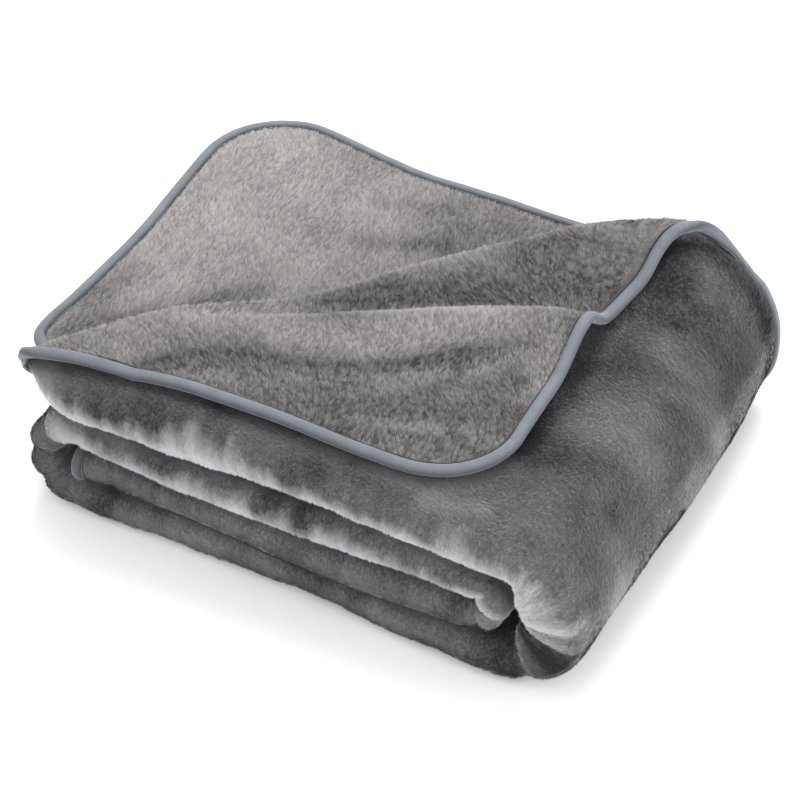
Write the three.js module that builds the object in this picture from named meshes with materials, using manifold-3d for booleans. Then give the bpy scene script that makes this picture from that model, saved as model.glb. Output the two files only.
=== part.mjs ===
// Flannel throw blanket, folded into a bundle, with its top back-left corner turned back to the front.
// Millimetres, +Z up, front towards -Y. The origin is on the floor, under the middle of the bundle's box.
import * as THREE from "three";
import Module from "manifold-3d";

// Driving sizes
const CLOTH = { wide: 1270, long: 1520, thick: 4, cornerRadius: 60 };
const PLY = 7; // from the middle of one ply to the middle of the next, inside a layer
const OUTER_PLY = 1.5 * PLY;
const INNER_PLY = 0.5 * PLY;
const LAYER = 4 * PLY;
const layerMiddle = (layer) => CLOTH.thick / 2 + OUTER_PLY + LAYER * layer;

// Places along the bundle, from the outside of its left turn
const TOP_END_X = -16;
const RIGHT_TURN_X = 350.5;
const LEFT_TURN_X = 39;
const INNER_TURN_X = 327.5;

// Places across the bundle, from its front
const FRONT_FOLD_Y = 13;
const BACK_FOLD_Y = 313.5;
const BACK_EDGE_Y = 320;

// The middle of the finished bundle's box, in the places above
const MIDDLE = { x: 194.5, y: 166.5 };

// The knitted tape folded over the cloth's edge
const BINDING = { inside: 8, outside: 3, lip: 2.5, shoulder: 0.5, middle: 2.4, rim: 1.1, clearance: 0.45 };
const TWIST_ROOM = 7; // how far the tape stands off where the cloth twists beside its edge
const TAPE_GAP = 0.3; // between the tape and any ply that it is pressed against
const TAPE_ON_FLOOR = 3.55; // the middle of the edge where its tape lies on the floor
const EDGE_THICK = 1.4; // the cloth, pressed inside the tape
const EDGE_RING = 12; // from the edge to where the cloth has its full thickness again

// Where the top layer's left end lies, by the distance across the cloth: its lower plies lie further in
const LEFT_END = [
  { across: 0, x: -12 },
  { across: 262, x: -12 },
  { across: 292, x: -8 },
  { across: 318, x: 3 },
  { across: 360, x: 8 },
  { across: 480, x: 12 },
  { across: 640, x: 14 },
  { across: 800, x: 12 },
  { across: 950, x: 12 },
  { across: 970, x: 0 },
  { across: 1000, x: -14 },
  { across: 1050, x: -11 },
  { across: 1120, x: -9 },
  { across: 1157, x: -12 },
  { across: 1210, x: -15 },
  { across: 1270, x: -15 },
];

// The turned-back corner, seen from above as a fan about a point off the bundle's front-left corner
const FAN = { x: -30, y: -8 };
// By the distance from the fan's point: the fold's angle in degrees and its radius, how far the ply
// lifts before it, the angle of the turned-back edge, and how far the ply reaches out once turned
const FOLD = [
  { far: 30, angle: 36, radius: 4, lift: 0, edge: 38, reach: 1.082 },
  { far: 65, angle: 41, radius: 5, lift: 0, edge: 27.5, reach: 1.082 },
  { far: 98, angle: 43, radius: 6, lift: 0, edge: 20.8, reach: 1.082 },
  { far: 150, angle: 42, radius: 8, lift: 0, edge: 14.8, reach: 1.082 },
  { far: 200, angle: 39.5, radius: 8, lift: 1, edge: 11.5, reach: 1.082 },
  { far: 245, angle: 40, radius: 8.5, lift: 2, edge: 9.4, reach: 1.082 },
  { far: 285, angle: 41.5, radius: 8.5, lift: 4, edge: 8.1, reach: 1.088 },
  { far: 345, angle: 42.5, radius: 9, lift: 6, edge: 6.7, reach: 1.073 },
  { far: 380, angle: 42.6, radius: 9, lift: 8, edge: 6.1, reach: 1.056 },
  { far: 415, angle: 42.3, radius: 8.5, lift: 13, edge: 5.6, reach: 1.073 },
  { far: 455, angle: 41, radius: 8, lift: 19, edge: 5.4, reach: 1.093 },
  { far: 480, angle: 40.2, radius: 8, lift: 18.5, edge: 5.2, reach: 1.103 },
  { far: 512, angle: 39.2, radius: 8, lift: 11, edge: 4.8, reach: 1.103 },
  { far: 550, angle: 37.5, radius: 8, lift: 3, edge: 4.8, reach: 1.103 },
  { far: 590, angle: 35.5, radius: 8, lift: 0, edge: 4.8, reach: 1.103 },
];
// By the same distance: the flap's waves, as distances from its fold and heights over where it rests
const WAVES = [
  { far: 30, dip: 6, dipUp: 1, crest: 12, crestUp: 1, trough: 30, troughUp: 0 },
  { far: 65, dip: 8, dipUp: 3, crest: 14, crestUp: 3, trough: 32, troughUp: 0 },
  { far: 98, dip: 8, dipUp: 5, crest: 14, crestUp: 5, trough: 40, troughUp: 0 },
  { far: 150, dip: 8, dipUp: 9, crest: 14, crestUp: 9, trough: 52, troughUp: 1 },
  { far: 200, dip: 9, dipUp: 8, crest: 16, crestUp: 11, trough: 55, troughUp: 1 },
  { far: 245, dip: 14, dipUp: 6, crest: 26, crestUp: 14, trough: 65, troughUp: 1 },
  { far: 285, dip: 22, dipUp: 3, crest: 41, crestUp: 15, trough: 86, troughUp: 1 },
  { far: 345, dip: 41, dipUp: 1, crest: 61, crestUp: 15, trough: 108, troughUp: 1 },
  { far: 380, dip: 55, dipUp: 0, crest: 76, crestUp: 15, trough: 120, troughUp: 1 },
  { far: 415, dip: 68, dipUp: 0, crest: 90, crestUp: 14, trough: 128, troughUp: 1 },
  { far: 484, dip: 72, dipUp: 0, crest: 94, crestUp: 13, trough: 136, troughUp: 1 },
  { far: 590, dip: 72, dipUp: 0, crest: 94, crestUp: 13, trough: 136, troughUp: 1 },
];
const FLAP_REST = 7; // the turned-back ply's middle above the ply that it lies on
const SWELL = { after: 45, up: 3, ends: 99 }; // the flap's low swell beyond its trough
const LIFT_REACH = 70; // how far before the fold the ply starts to lift
const REACH_OVER = 45; // where the flap has its full reach, beyond its fold

// The unevenness of a bundle folded by hand
// How far back the lowest front roll stands, at its left and its right end
const LEAN = { left: 6, right: -3 };
const WANDER = { by: 2, x: 45, z: 14 }; // the front rolls' wandering, and its wavelengths over 2 pi
// The left end of the top layer's front roll, set back, and its very end, tucked in behind it
const LOOSE_ROLL = { back: 14, x: 42, over: 50, low: 80, overLow: 10, high: 104, overHigh: 12 };
const TUCK = { back: 20, x: 27, overX: 32, y: 60, overY: 60, low: 81, overLow: 4, high: 112, overHigh: 12 };
// The back of the top, drawn out at its left corner and in beside it, from the middle of the bundle on
const BACK_LEFT = { back: 18, x: 150, over: 120 };
const BACK_MIDDLE = { back: -3, x: 300, over: 60 };
const BACK_SHIFT = { y: 150, over: 150 };
// The back end of the right turn, drawn in, and its middle, bulging out
const WRAP_IN = { by: 6, x: 330, overX: 60, y: 240, overY: 80, z: 10, overZ: 50 };
const BELLY = { by: 3.5, x: 350, overX: 40, y: 60, overY: 110, end: 310, overEnd: 90 };
// The right end of the turned-back fold, drawn out over the back edge
const PEAK = { x: 285, overX: 40, y: 270, overY: 35, z: 98, overZ: 36, end: 334, overEnd: 60 };
const PEAK_MOVE = { x: 6, y: 4 };
// The inner plies at the front of the right turn, slumped towards its middle: by how much, between
// which distances from the middle, and how far from the turn's start and from the front
const SLUMP = { by: 18, from: 24, to: 50, over: 18, x: 4, overX: 20, y: 60, overY: 45 };
const SAG = 4; // the middle layers' weight between the floor and the top
const RIPPLE = { up: 1.2, x: 60, y: 70, start: 1 };

// A smooth curve through a table's rows
function smoothColumn(rows, key, column) {
  const slope = (i) => {
    const a = rows[Math.max(i - 1, 0)];
    const b = rows[Math.min(i + 1, rows.length - 1)];
    return (b[column] - a[column]) / (b[key] - a[key]);
  };
  return (x) => {
    const last = rows.length - 2;
    let i = 0;
    while (i < last && x > rows[i + 1][key]) i++;
    const a = rows[i];
    const b = rows[i + 1];
    const step = b[key] - a[key];
    const f = Math.min(Math.max((x - a[key]) / step, 0), 1);
    const f2 = f * f;
    const f3 = f2 * f;
    return (
      (2 * f3 - 3 * f2 + 1) * a[column] +
      (f3 - 2 * f2 + f) * step * slope(i) +
      (3 * f2 - 2 * f3) * b[column] +
      (f3 - f2) * step * slope(i + 1)
    );
  };
}
const smoothStep = (f) => {
  const c = Math.min(Math.max(f, 0), 1);
  return c * c * (3 - 2 * c);
};
// A smooth rise from 0 to 1 that starts at a place and takes a distance, and the fall that ends there
const rise = (value, start, over) => smoothStep((value - start) / over);
const fall = (value, end, over) => smoothStep((end - value) / over);
const leftEnd = smoothColumn(LEFT_END, "across", "x");
const flap = {};
for (const column of Object.keys(FOLD[0])) flap[column] = smoothColumn(FOLD, "far", column);
for (const column of Object.keys(WAVES[0])) flap[column] = smoothColumn(WAVES, "far", column);

// One straight run of a path: its length, and a point on it with the direction of the sheet's outer side
function run(from, to, level, side, cells) {
  const length = Math.abs(to - from);
  const at = (f) => ({ x: from + (to - from) * f, z: level, nx: 0, nz: side });
  return { length, cells, at };
}
// A half turn about (x, z), bulging along heading. It runs down from the top where start is 1, and
// the sheet's outer side faces away from its middle where outward is 1.
function halfTurn(x, z, radius, heading, start, outward, cells) {
  const at = (f) => {
    const a = Math.PI * f;
    const dx = heading * Math.sin(a);
    const dz = start * Math.cos(a);
    return { x: x + radius * dx, z: z + radius * dz, nx: outward * dx, nz: outward * dz };
  };
  return { length: Math.PI * radius, cells, at };
}
const totalLength = (pieces) => pieces.reduce((sum, piece) => sum + piece.length, 0);
function pointOn(pieces, distance) {
  let left = distance;
  for (const piece of pieces) {
    const last = piece === pieces[pieces.length - 1];
    if (left <= piece.length || last) return piece.at(left / piece.length);
    left -= piece.length;
  }
}

// The folded strip's way along the bundle, as the middle of its four plies
const [L0, L1, L2, L3] = [0, 1, 2, 3].map(layerMiddle);
const FLOOR_PLY = L0 - OUTER_PLY;
const topRun = run(TOP_END_X, RIGHT_TURN_X, L3, 1, 23);
const rightTurn = halfTurn(RIGHT_TURN_X, (L0 + L3) / 2, (L3 - L0) / 2, 1, 1, 1, 7);
const ALONG = [
  topRun,
  rightTurn,
  run(RIGHT_TURN_X, LEFT_TURN_X, L0, -1, 5),
  halfTurn(LEFT_TURN_X, (L0 + L2) / 2, (L2 - L0) / 2, -1, -1, 1, 6),
  run(LEFT_TURN_X, INNER_TURN_X, L2, 1, 5),
  halfTurn(INNER_TURN_X, (L1 + L2) / 2, (L2 - L1) / 2, 1, 1, 1, 5),
];
ALONG.push(run(INNER_TURN_X, INNER_TURN_X - (CLOTH.long - totalLength(ALONG)), L1, -1, 3));

// The cloth's way across the strip: x is the place across the bundle, z the height inside the layer
const ACROSS = [
  run(BACK_EDGE_Y, FRONT_FOLD_Y, OUTER_PLY, 1, 21),
  halfTurn(FRONT_FOLD_Y, 0, OUTER_PLY, -1, 1, 1, 5),
  run(FRONT_FOLD_Y, BACK_FOLD_Y, -OUTER_PLY, -1, 3),
  halfTurn(BACK_FOLD_Y, -PLY, INNER_PLY, 1, -1, 1, 3),
  run(BACK_FOLD_Y, FRONT_FOLD_Y, -INNER_PLY, 1, 3),
  halfTurn(FRONT_FOLD_Y, 0, INNER_PLY, -1, -1, -1, 3),
];
ACROSS.push(run(FRONT_FOLD_Y, FRONT_FOLD_Y + CLOTH.wide - totalLength(ACROSS), INNER_PLY, -1, 4));

// The top layer's place along the bundle, from its uneven left end, unrolled past the right turn
function topX(along, across) {
  const end = leftEnd(across);
  if (along > topRun.length) return RIGHT_TURN_X + along - topRun.length;
  return end + (RIGHT_TURN_X - end) * (along / topRun.length);
}
// The folded bundle before its corner is turned back. along and across are distances on the flat cloth.
function folded(along, across) {
  const strip = pointOn(ALONG, along);
  const ply = pointOn(ACROSS, across);
  if (along < topRun.length) strip.x = topX(along, across);
  return new THREE.Vector3(strip.x + strip.nx * ply.z, ply.x, strip.z + strip.nz * ply.z);
}
// The top ply as if its straight run went on: x is unrolled past the right turn
function topPly(x, y) {
  if (x <= RIGHT_TURN_X) {
    return { at: new THREE.Vector3(x, y, L3 + OUTER_PLY), up: new THREE.Vector3(0, 0, 1) };
  }
  const strip = rightTurn.at(Math.min((x - RIGHT_TURN_X) / rightTurn.length, 1));
  const up = new THREE.Vector3(strip.nx, 0, strip.nz);
  return { at: new THREE.Vector3(strip.x, y, strip.z).addScaledVector(up, OUTER_PLY), up };
}
// The flap's height over the ply below it, at a distance from its fold
function flapHeight(far, from) {
  const rows = [
    [0, flap.lift(far) + 2 * flap.radius(far) - FLAP_REST],
    [flap.dip(far), flap.dipUp(far)],
    [flap.crest(far), flap.crestUp(far)],
    [flap.trough(far), flap.troughUp(far)],
    [flap.trough(far) + SWELL.after, SWELL.up],
    [flap.trough(far) + SWELL.ends, 0],
  ];
  let i = 0;
  while (i < rows.length - 2 && from > rows[i + 1][0]) i++;
  const [a, up] = rows[i];
  const [b, next] = rows[i + 1];
  return up + (next - up) * smoothStep((from - a) / (b - a));
}
// The top ply with its corner lifted, rolled over the fold and laid towards the front
function turnedBack(x, y) {
  const dx = x - FAN.x;
  const dy = y - FAN.y;
  const far = Math.hypot(dx, dy);
  const fold = THREE.MathUtils.degToRad(flap.angle(far));
  const past = far * (Math.atan2(dy, dx) - fold); // beyond the fold line, on the flat cloth
  const lift = flap.lift(far);
  if (past <= 0) {
    const ply = topPly(x, y);
    return ply.at.addScaledVector(ply.up, lift * smoothStep(1 + past / LIFT_REACH));
  }
  const radius = flap.radius(far);
  const foot = topPly(FAN.x + far * Math.cos(fold), FAN.y + far * Math.sin(fold)).at;
  const turn = Math.PI * radius;
  if (past < turn) {
    const a = past / radius;
    foot.x -= Math.sin(fold) * radius * Math.sin(a);
    foot.y += Math.cos(fold) * radius * Math.sin(a);
    foot.z += lift + radius * (1 - Math.cos(a));
    return foot;
  }
  const toEdge = Math.acos((LEFT_END[0].x - FAN.x) / far);
  const onFlat = Math.max(far * (toEdge - fold) - turn, 1); // from the fold to the cloth's left end
  const turned = far * (fold - THREE.MathUtils.degToRad(flap.edge(far)));
  const from = turned * ((past - turn) / onFlat);
  const angle = fold - from / far;
  const reach = far * (1 + (flap.reach(far) - 1) * smoothStep(from / REACH_OVER));
  return new THREE.Vector3(
    FAN.x + reach * Math.cos(angle),
    FAN.y + reach * Math.sin(angle),
    L3 + OUTER_PLY + FLAP_REST + flapHeight(far, from),
  );
}
const topPlyWide = ACROSS[0].length;
function laid(along, across) {
  const onTop = across <= topPlyWide && along < topRun.length + rightTurn.length;
  if (!onTop) return folded(along, across);
  return turnedBack(topX(along, across), BACK_EDGE_Y - across);
}
const TOP_PLY = L3 + OUTER_PLY;
// A point of the finished cloth's middle surface. Nothing moves up or down where it meets the floor.
function place(along, across) {
  const p = laid(along, across);
  const high = Math.min(Math.max(p.z - FLOOR_PLY, 0) / (TOP_PLY - FLOOR_PLY), 1);
  const front = 1 - p.y / BACK_EDGE_Y;
  const lean = LEAN.right + (LEAN.left - LEAN.right) * (1 - p.x / RIGHT_TURN_X);
  p.y += front * (lean * (1 - high) - WANDER.by * Math.sin(p.x / WANDER.x + p.z / WANDER.z));
  const overGap = rise(p.z, LOOSE_ROLL.low, LOOSE_ROLL.overLow);
  const inRoll = overGap * fall(p.z, LOOSE_ROLL.high, LOOSE_ROLL.overHigh);
  p.y += LOOSE_ROLL.back * fall(p.x, LOOSE_ROLL.x, LOOSE_ROLL.over) * front * inRoll;
  const inTuck = rise(p.z, TUCK.low, TUCK.overLow) * fall(p.z, TUCK.high, TUCK.overHigh);
  p.y += TUCK.back * fall(p.x, TUCK.x, TUCK.overX) * fall(p.y, TUCK.y, TUCK.overY) * inTuck;
  const backLeft = BACK_LEFT.back * fall(p.x, BACK_LEFT.x, BACK_LEFT.over);
  const backMiddle = BACK_MIDDLE.back * fall(p.x, BACK_MIDDLE.x, BACK_MIDDLE.over);
  p.y += high * rise(p.y, BACK_SHIFT.y, BACK_SHIFT.over) * (backLeft + backMiddle);
  const wrap = rise(p.x, WRAP_IN.x, WRAP_IN.overX) * rise(p.y, WRAP_IN.y, WRAP_IN.overY);
  p.x -= WRAP_IN.by * wrap * rise(p.z, WRAP_IN.z, WRAP_IN.overZ);
  const belly = rise(p.x, BELLY.x, BELLY.overX) * rise(p.y, BELLY.y, BELLY.overY);
  p.x += BELLY.by * belly * fall(p.y, BELLY.end, BELLY.overEnd);
  const peak = rise(p.x, PEAK.x, PEAK.overX) * fall(p.x, PEAK.end + PEAK.overEnd, PEAK.overEnd);
  const peakMove = peak * rise(p.y, PEAK.y, PEAK.overY) * rise(p.z, PEAK.z, PEAK.overZ);
  p.x += PEAK_MOVE.x * peakMove;
  p.y += PEAK_MOVE.y * peakMove;
  const outX = p.x - RIGHT_TURN_X;
  const outZ = p.z - (L0 + L3) / 2;
  const fromMiddle = Math.hypot(outX, outZ);
  if (fromMiddle > SLUMP.from) {
    const inTurn = fall(fromMiddle, SLUMP.to, SLUMP.over) * rise(outX, SLUMP.x, SLUMP.overX);
    const slump = SLUMP.by * inTurn * fall(p.y, SLUMP.y, SLUMP.overY);
    p.x -= slump * (outX / fromMiddle);
    p.z -= slump * (outZ / fromMiddle);
  }
  p.z -= SAG * Math.sin(Math.PI * high);
  p.z += high * RIPPLE.up * Math.sin(p.x / RIPPLE.x + RIPPLE.start) * Math.sin(p.y / RIPPLE.y);
  p.x -= MIDDLE.x;
  p.y -= MIDDLE.y;
  return p;
}

// The lines of the cloth's grid, as distances on the flat cloth. The first and last cells lie inside
// the binding, and the last run has finer cells where its corners are round.
function gridLines(pieces, cornerCells) {
  const end = totalLength(pieces);
  const lines = [0, EDGE_RING];
  const addEven = (from, to, cells) => {
    for (let i = 1; i <= cells; i++) lines.push(from + ((to - from) * i) / cells);
  };
  let start = 0;
  for (const piece of pieces) {
    const last = piece === pieces[pieces.length - 1];
    const to = last ? end - CLOTH.cornerRadius : start + piece.length;
    addEven(Math.max(start, EDGE_RING), to, piece.cells);
    start += piece.length;
  }
  addEven(end - CLOTH.cornerRadius, end - EDGE_RING, cornerCells);
  lines.push(end);
  return lines;
}
// A point of the square sheet moved in so that its four corners are round
function roundCorner(along, across) {
  const farAlong = along > CLOTH.long / 2;
  const farAcross = across > CLOTH.wide / 2;
  const radius = CLOTH.cornerRadius;
  const u = 1 - (farAlong ? CLOTH.long - along : along) / radius;
  const v = 1 - (farAcross ? CLOTH.wide - across : across) / radius;
  if (u <= 0 || v <= 0) return [along, across];
  const out = Math.max(u, v);
  const turn = (Math.PI / 4) * (Math.min(u, v) / out);
  const [a, b] = u >= v ? [Math.cos(turn), Math.sin(turn)] : [Math.sin(turn), Math.cos(turn)];
  const insetAlong = radius * (1 - out * a);
  const insetAcross = radius * (1 - out * b);
  return [
    farAlong ? CLOTH.long - insetAlong : insetAlong,
    farAcross ? CLOTH.wide - insetAcross : insetAcross,
  ];
}
// The direction of the cloth's outer side, from its slopes along and across
function outerSide(along, across) {
  const step = 0.5;
  const a0 = Math.max(along - step, 0);
  const a1 = Math.min(along + step, CLOTH.long);
  const c0 = Math.max(across - step, 0);
  const c1 = Math.min(across + step, CLOTH.wide);
  const goAlong = place(a1, across).sub(place(a0, across));
  const goAcross = place(along, c1).sub(place(along, c0));
  return goAcross.cross(goAlong).normalize();
}

// The grid of the cloth's middle surface
const alongLines = gridLines(ALONG, 2);
const acrossLines = gridLines(ACROSS, 4);
const rows = alongLines.length;
const columns = acrossLines.length;
const grid = alongLines.map((a) =>
  acrossLines.map((c) => {
    const [along, across] = roundCorner(a, c);
    const middle = place(along, across);
    return { middle, side: outerSide(along, across), out: new THREE.Vector3(), thick: CLOTH.thick };
  }),
);
// The cloth's edge, in order round the sheet, each point with the grid point of the ring inside it
const edge = [];
for (let i = 0; i < rows; i++) edge.push([i, 0]);
for (let j = 1; j < columns; j++) edge.push([rows - 1, j]);
for (let i = rows - 2; i >= 0; i--) edge.push([i, columns - 1]);
for (let j = columns - 2; j > 0; j--) edge.push([0, j]);
// The tape on the lowest ply rests on the floor like the cloth beside it
for (const [i, j] of edge) grid[i][j].middle.z = Math.max(grid[i][j].middle.z, TAPE_ON_FLOOR);
const inner = (value, count) => Math.min(Math.max(value, 1), count - 2);
const rim = edge.map(([i, j], k) => {
  const point = grid[i][j];
  const ring = grid[inner(i, rows)][inner(j, columns)];
  const neighbour = (step) => {
    const [m, n] = edge[(k + step + edge.length) % edge.length];
    return grid[m][n].middle;
  };
  const onward = neighbour(1).clone().sub(neighbour(-1)).normalize();
  // Out of the edge, along the grid's own line from the ring inside it, so that the tape bends
  // where the cloth does
  const out = point.middle.clone().sub(ring.middle);
  const along = out.dot(onward);
  const across = Math.sqrt(out.lengthSq() - along * along);
  out.addScaledVector(onward, Math.abs(along) < across ? 0 : -along).divideScalar(across);
  const side = onward.clone().cross(out).normalize();
  if (side.dot(point.side) < 0) side.negate();
  // The tape stands a little off the cloth where the cloth twists beside its edge
  const room = TWIST_ROOM * (1 - side.dot(ring.side));
  return { point, out, side, room };
});
for (const station of rim) {
  station.point.side = station.side;
  station.point.out = station.out;
  station.point.thick = EDGE_THICK;
}

// The cloth's closed surface, grown on both sides and past its edge
function clothSurface(grow) {
  const points = [];
  const surface = (sign) => {
    const first = points.length;
    for (const row of grid) {
      for (const p of row) {
        const corner = p.middle.clone().addScaledVector(p.side, sign * (p.thick / 2 + grow));
        points.push(corner.addScaledVector(p.out, grow));
      }
    }
    return (i, j) => first + i * columns + j;
  };
  const outer = surface(1);
  const reverse = surface(-1);
  const triangles = [];
  for (let i = 0; i + 1 < rows; i++) {
    for (let j = 0; j + 1 < columns; j++) {
      triangles.push([outer(i, j), outer(i, j + 1), outer(i + 1, j)]);
      triangles.push([outer(i + 1, j), outer(i, j + 1), outer(i + 1, j + 1)]);
      triangles.push([reverse(i, j), reverse(i + 1, j), reverse(i, j + 1)]);
      triangles.push([reverse(i + 1, j), reverse(i + 1, j + 1), reverse(i, j + 1)]);
    }
  }
  edge.forEach(([i, j], k) => {
    const [m, n] = edge[(k + 1) % edge.length];
    triangles.push([outer(i, j), outer(m, n), reverse(i, j)]);
    triangles.push([outer(m, n), reverse(m, n), reverse(i, j)]);
  });
  return { points, triangles };
}
// The tape's cross-section: how far out from the cloth's edge, and how far to the cloth's outer side
function tapeSection(room) {
  const slope = (CLOTH.thick - EDGE_THICK) / 2 / EDGE_RING;
  const mouth = EDGE_THICK / 2 + slope * BINDING.inside + BINDING.clearance;
  const seat = EDGE_THICK / 2 + BINDING.clearance;
  const half = [
    [BINDING.clearance, seat + room / 2],
    [-BINDING.inside, mouth + room],
    [-BINDING.inside, BINDING.lip + room],
    [BINDING.shoulder, BINDING.middle + room / 2],
    [BINDING.outside, BINDING.rim + room / 2],
  ];
  return [...half, ...half.map(([out, side]) => [out, -side]).reverse()];
}
// The room that the tape has at a station: the most that it or either neighbour needs
const roomAt = (k) => {
  const near = [k - 1, k, k + 1].map((n) => rim[(n + rim.length) % rim.length]);
  return Math.max(...near.map((station) => station.room));
};
function tapeSurface() {
  const sides = tapeSection(0).length;
  const points = rim.flatMap(({ point, out, side }, k) => {
    const at = ([u, v]) => point.middle.clone().addScaledVector(out, u).addScaledVector(side, v);
    return tapeSection(roomAt(k)).map(at);
  });
  const triangles = [];
  rim.forEach((_, k) => {
    const next = (k + 1) % rim.length;
    for (let c = 0; c < sides; c++) {
      const d = (c + 1) % sides;
      triangles.push([k * sides + c, next * sides + c, k * sides + d]);
      triangles.push([next * sides + c, next * sides + d, k * sides + d]);
    }
  });
  return { points, triangles };
}

// Solids, and the named meshes made from them
const FINEST = 0.02; // no edge of a cut is left shorter than this
const wasm = await Module();
wasm.setup();
function solidFrom({ points, triangles }) {
  const vertProperties = new Float32Array(points.flatMap((p) => [p.x, p.y, p.z]));
  const triVerts = new Uint32Array(triangles.flat());
  const tolerance = FINEST;
  return new wasm.Manifold(new wasm.Mesh({ numProp: 3, vertProperties, triVerts, tolerance }));
}
function meshFrom(name, solid, look) {
  const body = solid.getMesh();
  const geometry = new THREE.BufferGeometry();
  geometry.setAttribute("position", new THREE.BufferAttribute(body.vertProperties, 3));
  geometry.setIndex(new THREE.BufferAttribute(body.triVerts, 1));
  geometry.computeVertexNormals();
  const mesh = new THREE.Mesh(geometry, new THREE.MeshStandardMaterial(look));
  mesh.name = name;
  return mesh;
}
const cloth = solidFrom(clothSurface(0));
// The tape is pressed flatter where a fold of the cloth lies against it
const pressed = solidFrom(tapeSurface()).subtract(solidFrom(clothSurface(TAPE_GAP))).subtract(cloth);
const tape = pressed.decompose().reduce((most, body) => (body.volume() > most.volume() ? body : most));

const throwBlanket = new THREE.Group();
throwBlanket.add(
  meshFrom("blanket", cloth, { color: 0x5c5e64, roughness: 0.95, metalness: 0 }),
  meshFrom("binding", tape, { color: 0x6b7480, roughness: 0.85, metalness: 0 }),
);
export default throwBlanket;
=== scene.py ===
import math

import bpy
import numpy as np
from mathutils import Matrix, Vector
from mathutils.bvhtree import BVHTree


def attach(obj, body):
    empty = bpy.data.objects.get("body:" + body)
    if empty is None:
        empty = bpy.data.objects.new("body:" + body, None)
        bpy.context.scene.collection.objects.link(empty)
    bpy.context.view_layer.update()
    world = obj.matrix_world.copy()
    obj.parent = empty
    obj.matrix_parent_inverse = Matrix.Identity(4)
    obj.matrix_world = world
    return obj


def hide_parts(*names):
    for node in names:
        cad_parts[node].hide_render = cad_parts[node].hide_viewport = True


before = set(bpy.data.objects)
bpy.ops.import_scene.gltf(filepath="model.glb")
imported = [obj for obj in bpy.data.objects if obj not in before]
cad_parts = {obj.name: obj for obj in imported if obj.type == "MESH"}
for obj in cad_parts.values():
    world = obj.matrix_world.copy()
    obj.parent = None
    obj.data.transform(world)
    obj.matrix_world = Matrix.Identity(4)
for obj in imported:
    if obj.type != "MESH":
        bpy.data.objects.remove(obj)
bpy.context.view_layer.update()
rng = np.random.default_rng(20)

# The folded throw, in millimetres, laid out as its solid is
MM = 0.001
CLOTH_WIDE = 1270
CLOTH_LONG = 1520
CORNER_RADIUS = 60
GROUND = 1.4  # half the thickness of the knit ground under the pile
PLY = 7
OUTER_PLY = 1.5 * PLY
INNER_PLY = 0.5 * PLY
LAYER = 4 * PLY
LAYERS = [2 + OUTER_PLY + LAYER * layer for layer in range(4)]
TOP_END_X = -16
RIGHT_TURN_X = 350.5
LEFT_TURN_X = 39
INNER_TURN_X = 327.5
FRONT_FOLD_Y = 13
BACK_FOLD_Y = 313.5
BACK_EDGE_Y = 320
MIDDLE = np.array([194.5, 166.5, 0.0])
FLOOR_PLY = LAYERS[0] - OUTER_PLY
TOP_PLY = LAYERS[3] + OUTER_PLY
LOWEST_MIDDLE = 1.6  # the sheet's middle where the bundle rests on the floor
FLOOR_GAP = 0.05  # no tape lies lower than this

# Where the top layer's left end lies, by the distance across the cloth
LEFT_END = [
    {"across": across, "x": x}
    for across, x in (
        (0, -12), (262, -12), (292, -8), (318, 3), (360, 8), (480, 12), (640, 14), (800, 12),
        (950, 12), (970, 0), (1000, -14), (1050, -11), (1120, -9), (1157, -12), (1210, -15), (1270, -15),
    )
]

# The turned-back corner, as a fan about a point off the front-left corner
FAN_X, FAN_Y = -30, -8
FOLD = [
    {"far": 30, "angle": 36, "radius": 4, "lift": 0, "edge": 38, "reach": 1.082},
    {"far": 65, "angle": 41, "radius": 5, "lift": 0, "edge": 27.5, "reach": 1.082},
    {"far": 98, "angle": 43, "radius": 6, "lift": 0, "edge": 20.8, "reach": 1.082},
    {"far": 150, "angle": 42, "radius": 8, "lift": 0, "edge": 14.8, "reach": 1.082},
    {"far": 200, "angle": 39.5, "radius": 8, "lift": 1, "edge": 11.5, "reach": 1.082},
    {"far": 245, "angle": 40, "radius": 8.5, "lift": 2, "edge": 9.4, "reach": 1.082},
    {"far": 285, "angle": 41.5, "radius": 8.5, "lift": 4, "edge": 8.1, "reach": 1.088},
    {"far": 345, "angle": 42.5, "radius": 9, "lift": 6, "edge": 6.7, "reach": 1.073},
    {"far": 380, "angle": 42.6, "radius": 9, "lift": 8, "edge": 6.1, "reach": 1.056},
    {"far": 415, "angle": 42.3, "radius": 8.5, "lift": 13, "edge": 5.6, "reach": 1.073},
    {"far": 455, "angle": 41, "radius": 8, "lift": 19, "edge": 5.4, "reach": 1.093},
    {"far": 480, "angle": 40.2, "radius": 8, "lift": 18.5, "edge": 5.2, "reach": 1.103},
    {"far": 512, "angle": 39.2, "radius": 8, "lift": 11, "edge": 4.8, "reach": 1.103},
    {"far": 550, "angle": 37.5, "radius": 8, "lift": 3, "edge": 4.8, "reach": 1.103},
    {"far": 590, "angle": 35.5, "radius": 8, "lift": 0, "edge": 4.8, "reach": 1.103},
]
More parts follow.
